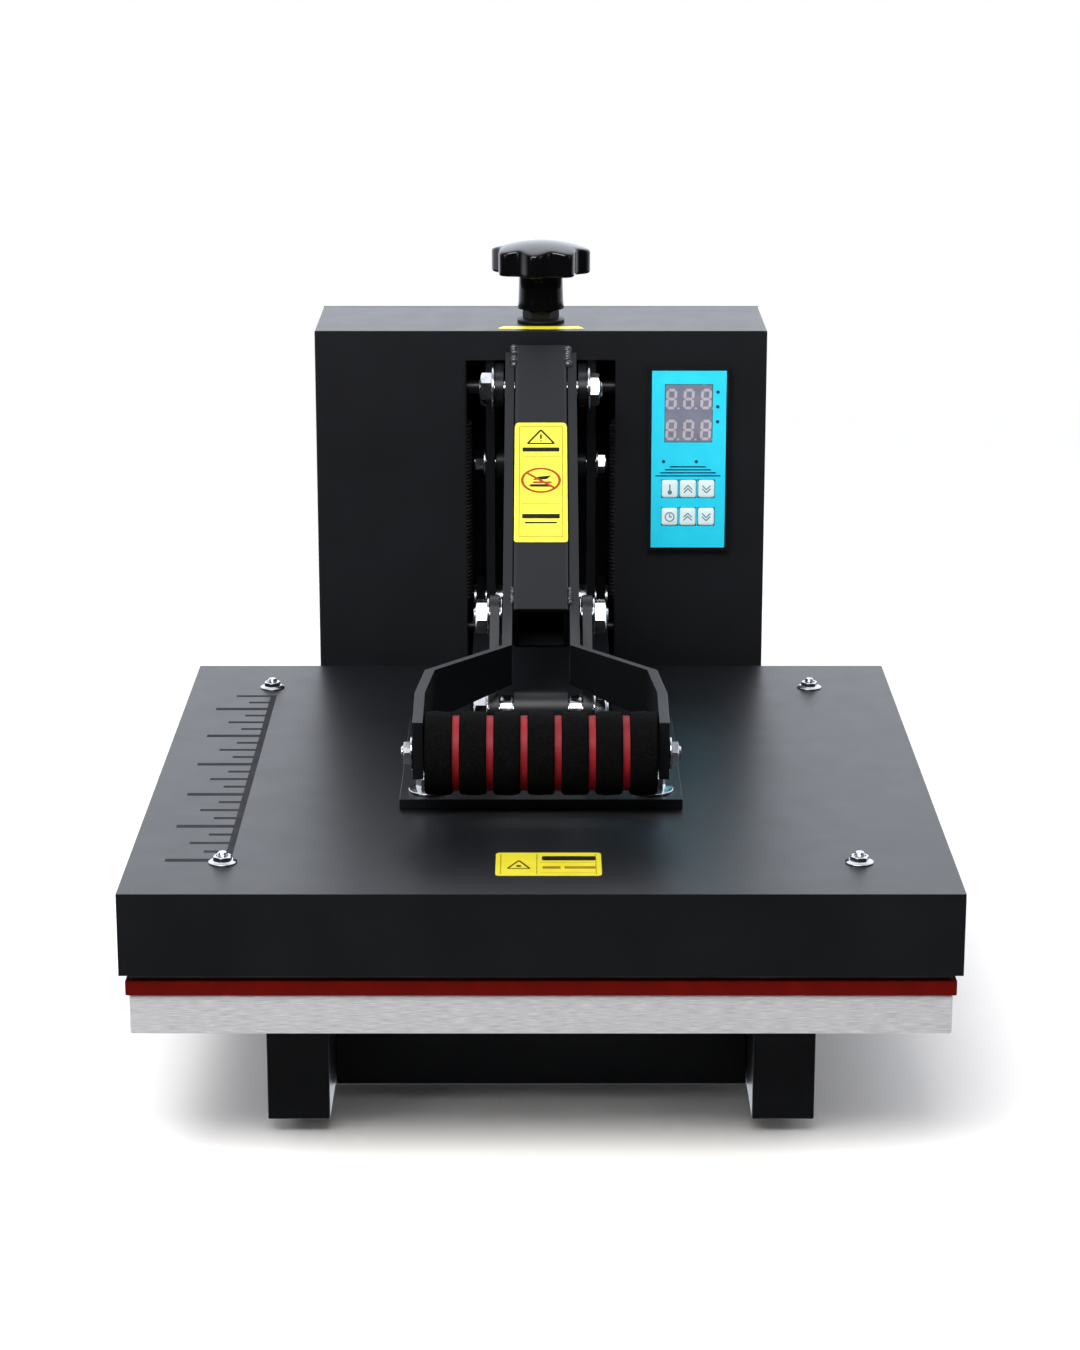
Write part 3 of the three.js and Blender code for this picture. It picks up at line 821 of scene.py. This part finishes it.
def display_digits():
    """Two rows of three seven-bar digits, unlit, each with its point."""
    x0, x1 = low("display").x, high("display").x
    z0, z1 = low("display").z, high("display").z
    digits = Print(plane((0, low("display").y, 0), (1, 0, 0), (0, 0, 1)), 0.01, 0.08)
    edge = 3.5
    pitch = (x1 - x0 - 2 * edge) / 2
    tall = z1 - z0
    for z in (z1 - tall * 0.25, z0 + tall * 0.21):
        for column in range(3):
            digit(digits, x0 + edge + pitch * column, z, 4.6, tall * 0.31)
    make("display_digits", digits.shape, SEGMENT, "base", ())


def digit(digits, x, z, width, height):
    w, h, bar, lean = width / 2, height / 2, 1.6, 0.06
    ends = [((-w, h), (w, h)), ((-w, 0), (w, 0)), ((-w, -h), (w, -h)),
            ((-w, 0), (-w, h)), ((w, 0), (w, h)), ((-w, -h), (-w, 0)), ((w, -h), (w, 0))]
    for (ax, az), (bx, bz) in ends:
        a = Vector((x + ax + az * lean, z + az))
        b = Vector((x + bx + bz * lean, z + bz))
        trim = (b - a).normalized() * bar * 0.42
        digits.line(a + trim, b - trim, bar)
    digits.patch(x + w + 1.7, z - h - 0.3, 1.2, 1.2, 0.55)


def panel_print():
    """Lamp dots, and four lines that grow wider downwards."""
    front = plane((0, PANEL_FRONT, 0), (1, 0, 0), (0, 0, 1))
    x0, x1 = low("control_face").x, high("control_face").x
    z1 = high("control_face").z
    ink = Print(front, thickness=0.1)
    for x, z in ((x1 - 4.8, z1 - 12), (x1 - 4.8, z1 - 20.4), (x1 - 4.8, z1 - 29),
                 (x0 + 6.9, z1 - 52), (x0 + 25.5, z1 - 52)):
        ink.patch(x, z, 1.9, 1.9, 0.94)
    ink.thickness = 0.06
    across = (x0 + x1) / 2 - 0.2
    for i in range(4):
        half = 10.2 + 2.75 * i
        z = z1 - 55 - 1.75 * i
        ink.line((across - half, z), (across + half, z), 0.75)
    make("panel_marks", ink.shape, NAVY, "base", ())


def button(node, kind, row):
    """A soft square key with a crowned face and a printed sign."""
    centre = middle(node)
    width = high(node).x - low(node).x
    height = high(node).z - low(node).z
    depth = high(node).y - low(node).y
    place = plane((centre.x, high(node).y, centre.z), (1, 0, 0), (0, 0, 1))
    steps = (0, 0), (0, depth - 0.9), (0.25, depth - 0.4), (0.8, depth - 0.12), (2.2, depth)
    shape = stepped_box(Shape(), (width, height), lambda inset: 1.3 - inset * 0.3, steps, place)
    make(f"{node}_cap", shape, KEY, node, [node], smooth=50)
    sign = Print(place, depth, 0.05)
    if kind == "mode" and row == "temperature":
        sign.line((0, -0.8), (0, 2.6), 0.75)
        sign.patch(0, -1.9, 2.5, 2.5, 1.2)
    elif kind == "mode":
        sign.ring((0, 0), 2.8, 2.2)
        sign.line((0, 0), (0, 1.7), 0.6)
        sign.line((0, 0), (1.2, 0), 0.6)
    else:
        way = 1 if kind == "up" else -1
        for lift in (0.9, -0.9):
            for side in (-1, 1):
                sign.line((side * 2.3, way * (lift - 1.1)), (0, way * (1.3 + lift)), 0.6)
    make(f"{node}_sign", sign.shape, KEY_INK, node, ())


# ---- pressure screw and knob

def dress_pressure():
    keep("pressure_yoke", COAT, 0.7)
    knob()
    node = "pressure_screw"
    axis = Matrix.Translation((0, SCREW_Y, 0))
    screw = thread(Shape(), 7.8, low(node).z, high(node).z - 0.4, 2, axis, 32)
    make("pressure_screw_threaded", screw, STEEL, "knob", [node])
    collar = Shape()
    flange, bore = 2.2, 8.4
    base = low("screw_collar").z
    place = Matrix.Translation((0, SCREW_Y, base))
    washer(collar, 13.5, flange, bore, place)
    hex_head(collar, 10.5, high("screw_collar").z - base - flange, place @ up(flange), bore, math.pi / 6)
    make("screw_collar_nut", collar, BLACK_PLASTIC, "base", ["screw_collar"])


def knob():
    """An eight-lobed hand knob: a shallow dome that runs out to the lobed edge, on a shank."""
    node = "pressure_knob"
    base, top = low(node).z, high(node).z
    lobes, outer, scallop = 8, 28.4, 4.5
    turn = math.radians(-98.7)
    head_bottom, dome = 356.9, 5.5
    segments = lobes * 20

    def edge(angle):
        return outer - scallop * (0.5 - 0.5 * math.cos(lobes * (angle - turn)))

    def dome_height(radius):
        return top - dome * (radius / outer) ** 2

    def ring(radius_of, height_of):
        points = []
        for i in range(segments):
            angle = turn + 2 * math.pi * i / segments
            r = radius_of(angle)
            points.append((r * math.cos(angle), r * math.sin(angle), height_of(angle, r)))
        return points

    rings = [ring(lambda a, r=r: r, lambda a, r, z=z: z) for r, z in (
        (12.0, base), (13.2, base + 0.4), (13.3, base + 1.6), (12.9, base + 5),
        (12.7, base + 12), (12.7, head_bottom - 1.0), (13.6, head_bottom))]
    rings += [ring(lambda a, s=s: edge(a) - s, lambda a, r, z=z: head_bottom + z)
              for s, z in ((1.6, 0.0), (0.7, 0.2), (0.15, 0.8), (0, 1.6))]
    # The moulding's edge is broken by a small radius, then the dome starts.
    rings += [ring(lambda a, s=s: edge(a) - s, lambda a, r, d=d: dome_height(r) - d)
              for s, d in ((0, 1.5), (0.1, 0.95), (0.4, 0.45), (0.9, 0.12), (1.5, 0.0))]
    rings += [ring(lambda a, f=f: (edge(a) - 1.5) * f, lambda a, r: dome_height(r))
              for f in (0.9, 0.78, 0.62, 0.44, 0.25, 0.1)]
    rings.append([(0, 0, top)])
    shape = loft(Shape(), rings, Matrix.Translation((0, SCREW_Y, 0)))
    piece = make("pressure_knob_moulded", shape, KNOB, "knob", [node], smooth=60)
    piece.data.materials.append(KNOB_SHANK)
    for face in piece.data.polygons:
        face.material_index = int(face.center.z < head_bottom * MM)


# ---- handle

def dress_handle():
    handle_tube()
    for name, _ in SIDES:
        keep(f"fork_bar_{name}", HANDLE_PAINTED_SHADE_COAT, 0.6)
    weld_beads()
    grip()


def tube_point(along, out=0.0, x=0.0):
    return TUBE_START + TUBE_ALONG * along + TUBE_OUT * out + Vector((x, 0, 0))


def handle_tube():
    """A square tube with drawn corners, cut square at both ends."""
    size, wall, corner = 2 * TUBE_HALF, 2.5, 2.3
    place = plane(TUBE_START - TUBE_OUT * size / 2, (1, 0, 0), -TUBE_ALONG)
    rings = []
    for width, radius, ends in ((size, corner, (0.25, 0)), (size - 2 * wall, 1.0, (0, 0.25))):
        break_outer, break_inner = ends
        for shrink, along in ((break_outer - break_inner, 0), (0, 0.25), (0, TUBE_LENGTH - 0.25),
                              (break_outer - break_inner, TUBE_LENGTH)):
            outline = rounded_box(width - 2 * shrink, width - 2 * shrink, radius, 6)
            rings.append([(x, -along, z) for x, z in outline])
    ordered = rings[:4] + rings[:3:-1]
    shape = loft(Shape(), ordered, place, closed=True)
    make("handle_tube_drawn", shape, HANDLE_PAINTED_SHADE_COAT, "lever", ["handle_tube"])


def weld_beads():
    """Rippled weld seams where the side bars meet the tube."""
    random.seed(11)
    shape = Shape()
    for _, side in SIDES:
        for first, last, size in ((1.5, 15, 2.3), (190, 201, 1.3)):
            along = first
            while along < last:
                across = side * (TUBE_HALF + 0.4 + random.uniform(-0.2, 0.5))
                centre = tube_point(along, -1.6 + random.uniform(-0.5, 0.3), across)
                blob(shape, centre, size * random.uniform(0.8, 1.1))
                along += size * random.uniform(0.5, 0.85)
    make("weld_beads", shape, WELD, "lever", smooth=60)


def blob(shape, centre, size):
    """One ripple of a weld: a flattened ball."""
    steps = 7
    profile = [(size * math.sin(math.pi * i / steps), -size * math.cos(math.pi * i / steps))
               for i in range(steps + 1)]
    profile[0], profile[-1] = (0, -size), (0, size)
    tilt = Matrix.Rotation(random.uniform(-0.4, 0.4), 4, "X")
    place = Matrix.Translation(centre) @ tilt @ Matrix.Diagonal((1.0, 0.55, 1.0, 1))
    lathe(shape, profile, place, 14)


def grip():
    """A rod with a nut at each end, a red sleeve over it, and foam over the sleeve."""
    centre = middle("grip_foam")
    half = high("grip_foam").x
    axis = along_axis(centre, (1, 0, 0))
    rod = Shape()
    lathe(rod, both_ends([(0, half + 0.1), (9, half + 0.1), (10, half - 1)]), axis)
    thread_start, bar_face = 58, 62.4
    for _, side in SIDES:
        end = outwards(centre, side, bar_face)
        washer(rod, 8, 1.5, 0, end)
        hex_head(rod, 6.4, 3.1, end @ up(1.4), 0, 0.2 * side)
        thread(rod, 3.9, 0, high("grip_axle").x - thread_start - 0.4, 1.25,
               outwards(centre, side, thread_start))
    make("grip_rod", rod, ZINC, "lever", ["grip_axle"])

    sleeve = Shape()
    inner, outer = 10.3, 18.3
    lathe(sleeve, both_ends([(inner, half - 1), (outer, half - 1)]), axis, 96, closed=True)
    make("grip_sleeve_red", sleeve, RED_SLEEVE, "lever", ["grip_core"])
    foam_sleeve(axis, half)


def foam_sleeve(axis, half):
    """Seven soft foam bands between six grooves, slightly uneven as cut foam is."""
    grooves, pitch, gap = 6, 16.5, 3.4
    radius, bore = 20.5, 18.5
    edges = [-half + 0.1]
    for i in range(grooves):
        centre = (i - (grooves - 1) / 2) * pitch
        edges += [centre - gap / 2, centre + gap / 2]
    edges.append(half - 0.1)
    bands = Shape()
    for start, end in zip(edges[::2], edges[1::2]):
        lathe(bands, foam_profile(start, end, radius, bore), None, 96, closed=True)
    soft = Shape()
    soft.faces = bands.faces
    for point in bands.points:
        swell = noise.noise(point * 0.16) * 0.35
        out = Vector((point.x, point.y, 0))
        if out.length > bore + 0.2:
            point = point + out.normalized() * (swell - 0.25)
        soft.points.append(axis @ point)
    piece = make("grip_foam_bands", soft, FOAM, "lever", ["grip_foam"], smooth=60)


def foam_profile(start, end, radius, bore):
    """Half the section of a band: round corners and a slightly crowned face."""
    corner = 1.7
    turns = [math.pi / 2 * k / 6 for k in range(7)]
    flat = end - start - 2 * corner
    profile = [(bore, start + 0.25), (radius - 0.5, start)]
    profile += [(radius - corner + corner * math.sin(t), start + corner - corner * math.cos(t))
                for t in turns[1:]]
    profile += [(radius + 0.22 * math.sin(math.pi * k / 6), start + corner + flat * k / 6)
                for k in range(1, 6)]
    profile += [(radius - corner + corner * math.cos(t), end - corner + corner * math.sin(t))
                for t in turns[:-1]]
    return profile + [(radius - 0.5, end), (bore, end - 0.25)]


# ---- fasteners

def through_bolt(name, node, body, washer_size, hex_size, shank):
    """A bolt along X: head and washer at one end, nut, washer and thread end at the other."""
    centre = middle(node)
    washer_radius, washer_thickness = washer_size
    corner, height = hex_size
    grip_half = high(node).x - centre.x - height - washer_thickness
    shape = Shape()
    lathe(shape, both_ends([(0, grip_half + 1), (shank, grip_half + 1)]),
          along_axis(centre, (1, 0, 0)), 32)
    for _, side in SIDES:
        end = outwards(centre, side, grip_half)
        washer(shape, washer_radius, washer_thickness, 0, end)
        top = end @ up(washer_thickness - 0.05)
        hex_head(shape, corner, height * (0.94 if side < 0 else 0.8), top, 0, 0.35 + 0.3 * side)
        if side > 0:
            thread(shape, shank, 0, height - 0.35, 1.25, top)
        else:
            washer(shape, corner * 0.6, 0.35, 0, top @ up(height * 0.93))
    make(name, shape, ZINC, body, [node])


def dress_fasteners():
    through_bolt("lever_pivot_fastener", "lever_pivot_bolt", "yoke", (12.5, 1.8), (9.4, 6.4), 5)
    through_bolt("tie_fastener", "tie_bolt", "base", (8.5, 1.5), (6.4, 5), 4)
    tie_spacer()
    through_bolt("link_foot_fastener", "link_foot_bolt", "platen", (9.5, 1.6), (9.4, 6.4), 5)
    link_foot_collars()
    for name, side in SIDES:
        link_head(name, side)
    for place in PLACES:
        for name, side in SIDES:
            corner = f"{place}_{name}"
            corner_fastener("cover", corner, COVER_TOP, (4.8, 2.5, 0.9, 2.6), (2.6, 0.35, 1.0),
                            0.3 + 0.4 * side)
            corner_fastener("mount", corner, MOUNT_TOP, (7.5, 6.3, 1.55, 3.9), (3.8, 0.4, 1.25),
                            0.1 - 0.3 * side)


def spacer(shape, bore, half, place):
    """A short tube whose outer edges are chamfered."""
    radius, chamfer = 8, 0.4
    profile = both_ends([(bore, half), (radius - chamfer, half), (radius, half - chamfer)])
    return lathe(shape, profile, place, 40, closed=True)


def tie_spacer():
    """The tube over the tie bolt, between the uprights."""
    tube = spacer(Shape(), 4.2, 25.8, along_axis(middle("tie_bolt"), (1, 0, 0)))
    make("tie_spacer", tube, COAT, "base")


def link_foot_collars():
    """A collar on each side between the bracket and the link."""
    bracket, half = 14.4, 3.35
    collars = Shape()
    for _, side in SIDES:
        spacer(collars, 5.1, half, outwards(middle("link_foot_bolt"), side, bracket + half))
    make("link_foot_collars", collars, ZINC, "platen", ())


def link_head(name, side):
    """The bolt at a link's upper end, with a thin washer inside and a thick one outside."""
    node = f"link_bolt_{name}"
    inner, outer = sorted((abs(low(node).x), abs(high(node).x)))
    centre = middle(node)
    start = outwards(Vector((0, centre.y, centre.z)), side, inner)
    link, nut = start @ up(6.6), start @ up(8.05)
    shape = Shape()
    lathe(shape, [(0, 0.3), (5, 0.3), (5, 7.5), (0, 7.5)], start, 32)
    washer(shape, 10, 0.95, 0, start)
    washer(shape, 10, 1.5, 0, link)
    hex_head(shape, 9.4, 5.6, nut, 0, 0.5 * side)
    thread(shape, 4.9, 0, outer - inner - 8.4, 1.25, nut)
    make(f"link_head_fastener_{name}", shape, ZINC, "link", [node])


def corner_fastener(kind, corner, face, nut, stud, turn):
    """A nut on its flange or washer, on the end of a thread that stands out of a face."""
    node = f"{kind}_bolt_{corner}"
    centre = middle(node)
    width, height, lift, bore = nut
    radius, tip, pitch = stud
    base = Matrix.Translation((centre.x, centre.y, face + 0.02))
    if kind == "cover":
        shape = lathe(Shape(), fillet([(0, 0), (6.6, 0), (6.8, 0.5), (5.0, 1.5), (0, 1.6)], 0.3), base)
    else:
        shape = washer(Shape(), 11, 1.6, 0, base)
    hex_head(shape, width, height, base @ up(lift), bore, turn)
    thread(shape, radius, low(node).z + 0.1 - face, high(node).z - face - tip, pitch, base)
    make(f"{kind}_fastener_{corner}", shape, ZINC, "platen", [node])


# ---- links and springs

def dress_links():
    for name, _ in SIDES:
        keep(f"link_{name}", COAT, 0.5)
        lift_spring(name)


def lift_spring(name):
    """A tension spring: close coils, and a loop over the post at each end."""
    node = f"lift_spring_{name}"
    centre = middle(node)
    post_z, pin_z = 294.0, 153.0
    coil_low, coil_high = low(node).z + 12, high(node).z - 10
    radius, wire, pitch = 4.9, 0.95, 2.15
    turns = (coil_high - coil_low) / pitch
    per_turn = 16
    steps = int(turns * per_turn)
    loop = 5.2

    def hook(z, way):
        """Most of a turn round a post, in the YZ plane."""
        points = []
        for i in range(15):
            a = math.radians(-90 + i * 20) * way
            points.append((0, loop * math.cos(a), z + loop * math.sin(a)))
        return points

    path = hook(pin_z, -1)[::-1]
    for i in range(steps + 1):
        a = 2 * math.pi * i / per_turn
        ease = min(1.0, i / per_turn, (steps - i) / per_turn)
        r = radius * (0.35 + 0.65 * ease)
        path.append((r * math.cos(a), r * math.sin(a), coil_low + (coil_high - coil_low) * i / steps))
    path += hook(post_z, 1)
    path = [(centre.x + x, centre.y + y, z) for x, y, z in path]
    shape = sweep(Shape(), path, wire, 8)
    piece = make(f"{node}_coil", shape, SHADED_COIL_WIRE, "base", [node], smooth=60)
    # The lower pin rises by 17 of the spring's 141 millimetres as the platen opens.
    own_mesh(piece)


# ---- printed labels

def dress_labels():
    tube_label()
    cover_label()
    knob_label()
    cover_scale()


def wrapped_label(width, length, flat_half, radius, thickness, place):
    """A label on the tube's face whose long edges follow the tube's round corners."""
    columns, corner = 32, 2.4
    rings = []
    for i in range(columns + 1):
        across = -width / 2 + width * i / columns
        bend = max(0.0, abs(across) - flat_half) / radius
        inset = max(0.0, abs(across) - (width / 2 - corner))
        end = length / 2 - (corner - math.sqrt(max(0.0, corner ** 2 - inset ** 2)))
        ring = []
        for level, ends in ((0, (-end, end)), (thickness, (end, -end))):
            x = math.copysign(min(abs(across), flat_half) + (radius + level) * math.sin(bend), across)
            ring += [(x, y, (radius + level) * math.cos(bend) - radius) for y in ends]
        rings.append(ring)
    return loft(Shape(), rings, place)


def tube_label():
    """Generic signs on a yellow film: a triangle, a crossed ring, and bars."""
    start, length, width, level = 64.4, 92.6, 28.9, 0.17
    half = length / 2
    place = plane(tube_point(start + half, 0.04), (1, 0, 0), -TUBE_ALONG)
    label = wrapped_label(width, length, TUBE_HALF - 2.3, 2.33, 0.16, place)
    make("tube_label", label, YELLOW, "lever")
    lines = Print(place, level)
    lines.outline([(-11.6, -half + 4), (11.6, -half + 4), (11.6, half - 3), (-11.6, half - 3)], 0.5)
    for y in (half - 27, -half + 29):
        lines.line((-10.2, y), (10.2, y), 0.4)
    make("tube_label_frame", lines.shape, YELLOW_LINE, "lever")
    ink = Print(place, level)
    ink.outline([(-7.2, half - 16.6), (7.2, half - 16.6), (0, half - 5.8)], 1.1)
    ink.line((0, half - 9.4), (0, half - 13), 1.0)
    ink.patch(0, half - 14.6, 1, 1, 0.45)
    ink.patch(0, half - 21.4, 20, 3.2, 0.5)
    ink.patch(0, -half + 19.5, 20, 3.4, 0.45)
    ink.patch(0, -half + 14.6, 17, 1.2, 0.45)
    ink.area([(-4.6, 1.0), (3.0, 1.6), (5.8, 4.6), (-1.4, 3.6)])
    ink.line((-5.8, -3.2), (5.2, -3.2), 1.9)
    make("tube_label_ink", ink.shape, INK, "lever")
    red = Print(place, level)
    red.line((-4.2, -0.8), (5.6, -0.8), 1.5)
    # Marks that cross lie a little above each other.
    red.level += 0.01
    red.ring((0, 0.8), 10.8, 9.3, squash=0.91)
    red.level += 0.01
    red.line((-7.4, 6.4), (7.4, -5.2), 1.4)
    make("tube_label_ring", red.shape, RED_INK, "lever")


def cover_label():
    """A flat label near the front of the cover."""
    width, height, level = 49.8, 33, 0.17
    right, top = width / 2, height / 2
    place = plane((3.5, low("upper_cover").y + 42, COVER_TOP), (1, 0, 0), (0, 1, 0))
    label = slab(Shape(), rounded_box(width, height, 2.2), 0.16, place)
    make("cover_label", label, COVER_YELLOW, "platen")
    lines = Print(place, level)
    for x in (-right + 2.4, -right + 19.4, right - 2.6):
        lines.line((x, -top + 2), (x, top - 2), 0.55)
    for y in (2.4, -12.8):
        lines.line((-4, y), (right - 3.4, y), 0.4)
    make("cover_label_frame", lines.shape, YELLOW_LINE, "platen")
    ink = Print(place, level)
    ink.outline([(-19.2, -6.4), (-8.8, -6.4), (-14, 5)], 0.9)
    ink.patch(-14, -3, 2.6, 2.6, 1.2)
    ink.patch(9.6, 8.2, 25.4, 6, 1.2)
    make("cover_label_ink", ink.shape, INK, "platen")
    bars = Print(place, level)
    bars.patch(1.4, -5, 8.5, 3.4, 0.6)
    bars.patch(14.8, -5, 14.6, 3.4, 0.6)
    make("cover_label_bars", bars.shape, OCHRE_INK, "platen")


def knob_label():
    """A yellow strip in front of the collar, with a bowed front edge and slanted ends."""
    half, depth, bow, slant, inset = 24.6, 9.3, 1.8, 3.4, 5.6
    place = plane((0, HOUSING_FRONT + inset, HOUSING_TOP), (1, 0, 0), (0, 1, 0))
    steps = 24
    outline = [(half * t, bow * t * t) for t in (2 * i / steps - 1 for i in range(steps + 1))]
    outline += [(half - slant, depth), (slant - half, depth)]
    strip = slab(Shape(), outline, 0.16, place)
    make("knob_label", strip, YELLOW, "base")


def cover_scale():
    """A printed size scale along the left of the cover: long, middle and short marks."""
    x_line = low("upper_cover").x + 47
    y0 = low("upper_cover").y + 48
    step, count = 25.4 / 2, 22
    scale = Print(plane((0, 0, COVER_TOP), (1, 0, 0), (0, 1, 0)), thickness=0.05)
    scale.patch(x_line, y0 + step * count / 2, 3.2, step * count + 3.2, 0.4)
    for i in range(count + 1):
        length = 28 if i % 4 == 0 else 19 if i % 2 == 0 else 11
        width = 4.2 if i % 4 == 0 else 3.0
        scale.patch(x_line - length / 2 - 1.5, y0 + i * step, length, width, 0.4)
    make("cover_scale", scale.shape, GREY_INK, "platen")


def main():
    make_camera()
    make_floor()
    make_sky()
    make_lights()
    bpy.context.scene.view_settings.view_transform = "Standard"
    dress_stand()
    dress_platens()
    dress_housing()
    dress_controls()
    dress_pressure()
    dress_handle()
    dress_fasteners()
    dress_links()
    dress_labels()


main()
